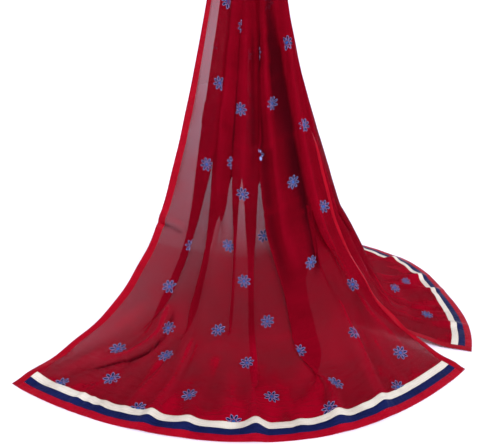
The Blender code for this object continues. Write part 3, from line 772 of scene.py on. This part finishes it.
# the folds of both halves, one Fold a bracket
frontFolds = [
    (0.312, 1.01, 0.292, 1.24, 0.013, 0.008, 0.03), (0.463, 0.99, 0.49, 1.24, 0.014, 0.0085, 0.04),
    (0.65, 1.07, 0.624, 1.24, 0.015, 0.009, 0.04), (0.765, 0.97, 0.712, 1.24, 0.014, 0.0085, 0.05),
    (0.372, 1.06, 0.362, 1.24, 0.012, 0.004, 0.04), (0.145, 1.1, 0.14, 1.24, 0.009, 0.0035, 0.03),
    (0.168, 1.12, 0.165, 1.24, 0.008, 0.0028, 0.03), (0.195, 1.1, 0.192, 1.24, 0.009, 0.003, 0.03),
    (0.56, 1.1, 0.56, 1.24, 0.012, 0.003, 0.04), (0.168, 0.95, 0.172, 1.01, 0.009, 0.011, 0.02),
    (0.172, 1.01, 0.163, 1.042, 0.009, 0.012, 0.012), (0.163, 1.042, 0.139, 1.072, 0.01, 0.0125, 0.012),
    (0.139, 1.072, 0.085, 1.106, 0.01, 0.011, 0.014), (0.186, 0.96, 0.189, 1.015, 0.0045, -0.007, 0.016),
    (0.189, 1.015, 0.179, 1.052, 0.0045, -0.0085, 0.01), (0.179, 1.052, 0.153, 1.086, 0.005, -0.009, 0.01),
    (0.153, 1.086, 0.098, 1.123, 0.0055, -0.008, 0.014), (0.205, 1.02, 0.17, 1.11, 0.008, 0.005, 0.02),
    (0.86, 0.98, 0.874, 1.13, 0.016, 0.006, 0.05), (0.935, 0.88, 0.944, 1.06, 0.01, 0.004, 0.04),
    (0.055, 0.96, 0.048, 1.05, 0.014, 0.006, 0.03), (0.08, 1.08, 0.052, 1.165, 0.012, 0.006, 0.03),
    (0.42, 1.05, 0.432, 1.165, 0.016, 0.006, 0.03), (0.56, 1.0, 0.575, 1.09, 0.014, 0.0055, 0.03),
    (0.81, 1.05, 0.8, 1.18, 0.013, 0.005, 0.04), (0.25, 1.06, 0.238, 1.18, 0.012, 0.0055, 0.03),
    (0.343, 1.154, 0.402, 1.129, 0.006, 0.0028, 0.012), (0.402, 1.129, 0.451, 1.137, 0.006, 0.0024, 0.012),
    (0.238, 1.142, 0.307, 1.147, 0.006, 0.0024, 0.015), (0.307, 1.147, 0.352, 1.122, 0.006, 0.0026, 0.012),
    (0.503, 1.088, 0.55, 1.085, 0.006, 0.0022, 0.012), (0.55, 1.085, 0.615, 1.12, 0.006, 0.0024, 0.012),
    (0.682, 1.09, 0.706, 1.112, 0.006, 0.0026, 0.01), (0.706, 1.112, 0.769, 1.122, 0.006, 0.0024, 0.012),
    (0.343, 1.017, 0.385, 0.997, 0.006, 0.0034, 0.01), (0.385, 0.997, 0.423, 1.007, 0.006, 0.0028, 0.01),
    (0.505, 0.98, 0.56, 0.987, 0.006, 0.0032, 0.01), (0.61, 0.99, 0.668, 0.998, 0.006, 0.003, 0.01),
    (0.0, 0.775, 0.063, 0.783, 0.007, 0.0048, 0.01), (0.0, 0.79, 0.06, 0.797, 0.004, -0.006, 0.01),
    (0.664, 0.727, 0.704, 0.732, 0.006, 0.003, 0.01), (0.4, 0.588, 0.5, 0.592, 0.006, 0.002, 0.015),
    (0.64, 0.59, 0.72, 0.594, 0.006, 0.002, 0.015), (0.3, 0.452, 0.42, 0.456, 0.006, 0.0018, 0.015),
    (0.69, 0.465, 0.79, 0.468, 0.006, 0.0018, 0.015), (0.02, 0.5, 0.028, 0.72, 0.007, 0.0016, 0.05),
    (0.699, 0.34, 0.708, 0.64, 0.007, -0.0085, 0.06), (0.708, 0.64, 0.716, 0.88, 0.0075, -0.0095, 0.04),
    (0.688, 0.36, 0.694, 0.86, 0.005, 0.006, 0.06), (0.665, 0.345, 0.667, 0.585, 0.008, -0.0085, 0.05),
    (0.672, 0.56, 0.677, 0.88, 0.009, -0.0045, 0.06), (0.3, 0.64, 0.302, 0.98, 0.009, -0.0022, 0.06),
    (0.65, 0.36, 0.646, 0.62, 0.006, 0.0045, 0.06), (0.321, 0.34, 0.326, 0.62, 0.0055, -0.0065, 0.06),
    (0.303, 0.34, 0.304, 0.72, 0.006, 0.005, 0.06), (0.436, 0.33, 0.442, 0.7, 0.0065, 0.005, 0.06),
    (0.452, 0.34, 0.456, 0.64, 0.005, -0.005, 0.06), (0.882, 0.42, 0.879, 0.86, 0.009, 0.005, 0.08),
    (0.858, 0.48, 0.852, 0.84, 0.007, -0.005, 0.07), (0.064, 0.42, 0.072, 0.74, 0.006, -0.0022, 0.06),
    (0.3, 0.02, 0.303, 0.34, 0.006, 0.0035, 0.05), (0.664, 0.06, 0.666, 0.33, 0.0055, -0.004, 0.05),
    (0.7, 0.04, 0.699, 0.34, 0.006, -0.0045, 0.05), (0.56, 0.06, 0.564, 0.42, 0.007, -0.0045, 0.06),
]
backFolds = [
    (0.18, 0.98, 0.172, 1.24, 0.014, 0.008, 0.04), (0.3, 1.02, 0.29, 1.24, 0.013, 0.006, 0.04),
    (0.42, 0.98, 0.432, 1.24, 0.015, 0.0085, 0.05), (0.56, 1.0, 0.566, 1.24, 0.012, 0.0065, 0.04),
    (0.664, 1.08, 0.658, 1.24, 0.012, 0.0085, 0.03), (0.84, 1.15, 0.844, 1.24, 0.011, 0.006, 0.02),
    (0.64, 1.06, 0.76, 1.084, 0.01, 0.005, 0.02), (0.76, 1.084, 0.88, 1.07, 0.01, 0.0045, 0.02),
    (0.66, 1.13, 0.74, 1.15, 0.008, 0.0035, 0.015), (0.82, 1.02, 0.9, 1.0, 0.01, 0.004, 0.02),
    (0.09, 0.9, 0.098, 1.12, 0.014, 0.006, 0.05), (0.24, 0.86, 0.236, 1.0, 0.012, 0.005, 0.04),
    (0.48, 0.9, 0.49, 1.06, 0.014, 0.006, 0.04), (0.36, 1.12, 0.42, 1.14, 0.007, 0.0028, 0.012),
    (0.13, 1.13, 0.2, 1.12, 0.007, 0.0026, 0.012), (0.5, 1.13, 0.58, 1.12, 0.007, 0.0028, 0.012),
    (0.56, 0.56, 0.68, 0.566, 0.006, 0.002, 0.015), (0.2, 0.64, 0.33, 0.634, 0.006, 0.002, 0.015),
    (0.738, 0.96, 0.752, 1.15, 0.007, 0.005, 0.04), (0.756, 0.98, 0.77, 1.16, 0.005, -0.005, 0.04),
    (0.842, 0.94, 0.85, 1.13, 0.007, 0.0048, 0.04), (0.862, 0.97, 0.868, 1.12, 0.005, -0.005, 0.04),
    (0.115, 0.38, 0.116, 0.76, 0.007, -0.0055, 0.06), (0.235, 0.34, 0.232, 0.7, 0.007, 0.005, 0.06),
    (0.345, 0.36, 0.344, 0.78, 0.006, -0.006, 0.06), (0.452, 0.34, 0.453, 0.72, 0.007, 0.005, 0.06),
    (0.562, 0.34, 0.564, 0.76, 0.007, -0.006, 0.06), (0.672, 0.36, 0.674, 0.74, 0.007, 0.005, 0.06),
    (0.778, 0.34, 0.779, 0.76, 0.006, -0.006, 0.06), (0.884, 0.36, 0.882, 0.78, 0.007, 0.0045, 0.06),
]
halves = {}
for word, threads, legs, side, folds in (("front", frontThreads, frontLegs, -1, frontFolds),
                                         ("back", backThreads, backLegs, 1, backFolds)):
    fall = Fall(threads, legs, side)
    halves[word] = sewFall(word, fall, [Fold(*row) for row in folds], *sewing[word + "Grid"])
    print(word + " half draped and trimmed")

# embroidered flowers: sizes in metres, places across and down the cloth, the photo's own ones first
flower = {
    "petals": 8, "petalRing": 0.0092, "petalLength": 0.0104, "petalShape": 0.52, "petalSides": 6,
    "button": 0.0039, "buttonSides": 8, "outline": 0.00050, "height": 0.0007, "under": -0.0006,
    "sunk": -0.0002, "flatHeight": 0.0003, "overRibbon": 0.0006, "sharpAngle": 50,
    "turn": 0.5, "turnStep": 2.4, "reach": 0.030, "samples": 61,
    "columnCount": 10, "columns": 0.0855, "rows": 0.172, "firstColumn": 0.0665, "lastRow": 0.042,
    "apart": 0.104, "clearTop": 0.03, "clearSide": 0.035,
    "frontPlaces": [
        (0.074, 0.317), (0.322, 0.354), (0.876, 0.410), (0.076, 0.476), (0.432, 0.513), (0.697, 0.513),
        (0.893, 0.584), (0.074, 0.645), (0.322, 0.626), (0.661, 0.604), (0.703, 0.689), (0.440, 0.684),
        (0.904, 0.765), (0.097, 0.819), (0.369, 0.797), (0.525, 0.772), (0.708, 0.865), (0.078, 0.914),
        (0.445, 0.863), (0.864, 0.946), (0.527, 0.948), (0.367, 0.973), (0.188, 0.993), (0.099, 1.071),
        (0.228, 1.051), (0.449, 1.040), (0.670, 1.030), (0.752, 1.044), (0.851, 1.122), (0.158, 1.134),
        (0.075, 1.176), (0.354, 1.132), (0.522, 1.120), (0.664, 1.122), (0.263, 1.178), (0.445, 1.178),
        (0.619, 1.172), (0.779, 1.176),
    ],
    "backPlaces": [(0.701, 1.063), (0.805, 1.132), (0.590, 1.132)],
}


def stitchFlower():  # one flower, flat, round the origin
    parts = []
    bpy.ops.object.select_all(action="DESELECT")
    long, slim = flower["petalLength"] / 2, flower["petalShape"]
    discs = (("petal", flower["petalSides"], flower["petalRing"], long, slim),
             ("button", flower["buttonSides"], 0.0, flower["button"], 1.0))
    for k, (name, sides, ring, radius, shape) in enumerate(discs):
        bpy.ops.mesh.primitive_circle_add(vertices=sides, radius=radius, fill_type="NGON",
                                          location=(0.0, ring, flower["under"]))
        part = bpy.context.object
        part.name = name
        bpy.ops.object.mode_set(mode="EDIT")
        bpy.ops.mesh.select_all(action="SELECT")
        bpy.ops.transform.resize(value=(shape, 1.0, 1.0))
        rise = flower["height"] - flower["under"]
        bpy.ops.mesh.extrude_region_move(TRANSFORM_OT_translate={"value": (0.0, 0.0, rise)})
        bpy.ops.mesh.inset(thickness=flower["outline"])
        bpy.ops.transform.translate(value=(0.0, 0.0, flower["sunk"]))
        bpy.ops.object.mode_set(mode="OBJECT")
        bpy.ops.object.transform_apply(location=True, rotation=True, scale=True)
        for colour in floss["colours"]:
            part.data.materials.append(looks[colour])
        for face in part.data.polygons:  # lavender round ink on a petal, ink round azure on the button
            inside = face.normal.z > 0.9 and face.center.z > 0 and len(face.vertices) > 4
            face.material_index = k + (1 if inside else 0)
        parts.append(part)
    petal, button = parts
    petals = [petal]
    for k in range(1, flower["petals"]):
        copy = petal.copy()
        copy.data = petal.data.copy()
        bpy.context.scene.collection.objects.link(copy)
        copy.rotation_euler.z = 2 * math.pi * k / flower["petals"]
        petals.append(copy)
    bpy.ops.object.select_all(action="DESELECT")
    for part in petals + [button]:
        part.select_set(True)
    bpy.context.view_layer.objects.active = petal
    bpy.ops.object.transform_apply(location=True, rotation=True, scale=True)
    bpy.ops.object.join()
    petal.name = "flower_model"
    return petal


def flowerPlaces(known):  # the known places, and a half-drop pattern where none is near
    places = list(known)
    rows = int(stole["length"] / flower["rows"]) + 1
    for k in range(flower["columnCount"]):
        u = flower["firstColumn"] + flower["columns"] * k
        for j in range(rows):
            d = stole["length"] - flower["lastRow"] - (k % 2) * flower["rows"] / 2 - j * flower["rows"]
            near = min(math.hypot(u - a, d - b) for a, b in places)
            onPanel = d > flower["clearTop"] and u < stole["width"] - flower["clearSide"]
            if onPanel and near > flower["apart"]:
                places.append((u, d))
    return places


def trueSteps(field, u, d, steps, across):  # cloth places that lie the true distances from (u, d)
    reach = np.linspace(-flower["reach"], flower["reach"], flower["samples"])
    spots, _ = field.at(np.clip(u + reach * across, 0.0, stole["width"]),
                        np.clip(d + reach * (1 - across), 0.0, stole["length"]))
    run = summed(np.linalg.norm(np.diff(spots, axis=0), axis=1) + 1e-6)
    return np.interp(steps, run - np.interp(0.0, reach, run), reach)


def embroider(word, field, model, known):  # copies of the flower that follow the cloth
    verts = np.array([v.co for v in model.data.vertices])
    faces = [list(face.vertices) for face in model.data.polygons]
    threads = [face.material_index for face in model.data.polygons]
    last = stole["length"] - 3 * stole["endRibbon"] + flower["overRibbon"]
    flat = flower["flatHeight"]  # over the ribbon's edge and on the floor
    allVerts, allFaces, allThreads = [], [], []
    for k, (u, d) in enumerate(flowerPlaces(known)):
        angle = flower["turn"] * math.sin(k * flower["turnStep"])
        x = verts[:, 0] * math.cos(angle) - verts[:, 1] * math.sin(angle)
        y = verts[:, 0] * math.sin(angle) + verts[:, 1] * math.cos(angle)
        x, y = trueSteps(field, u, d, x, 1), trueSteps(field, u, d, y, 0)
        cut = np.minimum(d + y, last)
        spot, normal = field.at(np.clip(u + x, 0.0, stole["width"]), cut)
        rise = np.where(d + y > last, np.minimum(verts[:, 2], flat), verts[:, 2])
        spot = spot + normal * rise[:, None]
        spot[:, 2] = np.maximum(spot[:, 2], flat - stole["holdHeight"])
        start = len(verts) * k
        allVerts.append(spot)
        allFaces += [[start + v for v in face] for face in faces]
        allThreads += threads
    mesh = bpy.data.meshes.new(word + "_flowers")
    mesh.from_pydata(np.concatenate(allVerts).tolist(), [], allFaces)
    for colour in floss["colours"]:
        mesh.materials.append(looks[colour])
    mesh.polygons.foreach_set("material_index", allThreads)
    mesh.polygons.foreach_set("use_smooth", [True] * len(mesh.polygons))
    mesh.set_sharp_from_angle(angle=math.radians(flower["sharpAngle"]))
    piece = bpy.data.objects.new(word + "_flowers", mesh)
    bpy.context.scene.collection.objects.link(piece)
    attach(piece, "root")
    return piece


# each half's panel before it is sewn
flowerModel = stitchFlower()
for word, (field, panel, trim) in halves.items():
    trim["flowers"] = embroider(word, field, flowerModel, flower[word + "Places"])
bpy.data.objects.remove(flowerModel)
print("flowers embroidered")


# floor, lights and camera
studio = {
    "floorColour": (0.985, 0.970, 0.990, 1.0), "floorRoughness": 0.9, "floorSize": 60.0,
    "tint": (0.82, 0.81, 1.0),  # cool, so that what shows through the chiffon is mauve
    "horizon": 1.36, "above": 0.35, "horizonBand": (0.42, 0.68),
    "key": ((0.20, -1.0, 1.20), 3.20, 36.0), "fill": ((1.2, -0.8, 0.9), 0.40, 40.0),
    "camera": (0.0, -1.08, -0.46), "pitch": 17.6, "lens": 33.84, "sensor": 36.0,
}


def addLight(name, source, power, softness):
    light = bpy.data.lights.new(name, "SUN")
    light.energy = power
    light.color = studio["tint"]
    light.angle = math.radians(softness)
    lamp = bpy.data.objects.new(name, light)
    lamp.location = source
    lamp.rotation_euler = Vector(source).to_track_quat("Z", "Y").to_euler()
    bpy.context.scene.collection.objects.link(lamp)


bpy.ops.object.select_all(action="DESELECT")
bpy.ops.mesh.primitive_plane_add(size=studio["floorSize"], location=(0.0, 0.0, -stole["holdHeight"]))
floor = bpy.context.object
floor.name = "studio_floor"
floorLook = Look("pale_floor", Base_Color=studio["floorColour"], Roughness=studio["floorRoughness"],
                 Specular_IOR_Level=0.0)
floor.data.materials.append(floorLook.material)

world = bpy.data.worlds.new("pale_room")  # white round the horizon and softer above
room = Tree(world)
place = room.add("ShaderNodeTexCoord", out="Generated")
height = room.add("ShaderNodeSeparateXYZ", {}, {"Vector": place}, out="Z")
band = dict(zip(("From Min", "From Max", "To Min", "To Max"),
                (*studio["horizonBand"], studio["horizon"], studio["above"])))
fade = room.add("ShaderNodeMapRange", {"interpolation_type": "SMOOTHSTEP"}, {"Value": height, **band})
sky = room.nodes["Background"]
sky.inputs["Color"].default_value = (*studio["tint"], 1.0)
room.links.new(fade.socket, sky.inputs["Strength"])
bpy.context.scene.world = world
addLight("key", *studio["key"])
addLight("fill", *studio["fill"])

camera = bpy.data.objects.new("camera", bpy.data.cameras.new("camera"))
camera.location = studio["camera"]
camera.rotation_euler = (math.radians(90.0 - studio["pitch"]), 0.0, 0.0)
camera.data.lens = studio["lens"]
camera.data.sensor_width = studio["sensor"]
bpy.context.scene.collection.objects.link(camera)
bpy.context.scene.camera = camera
bpy.context.scene.view_settings.view_transform = "Standard"
print("stage set")
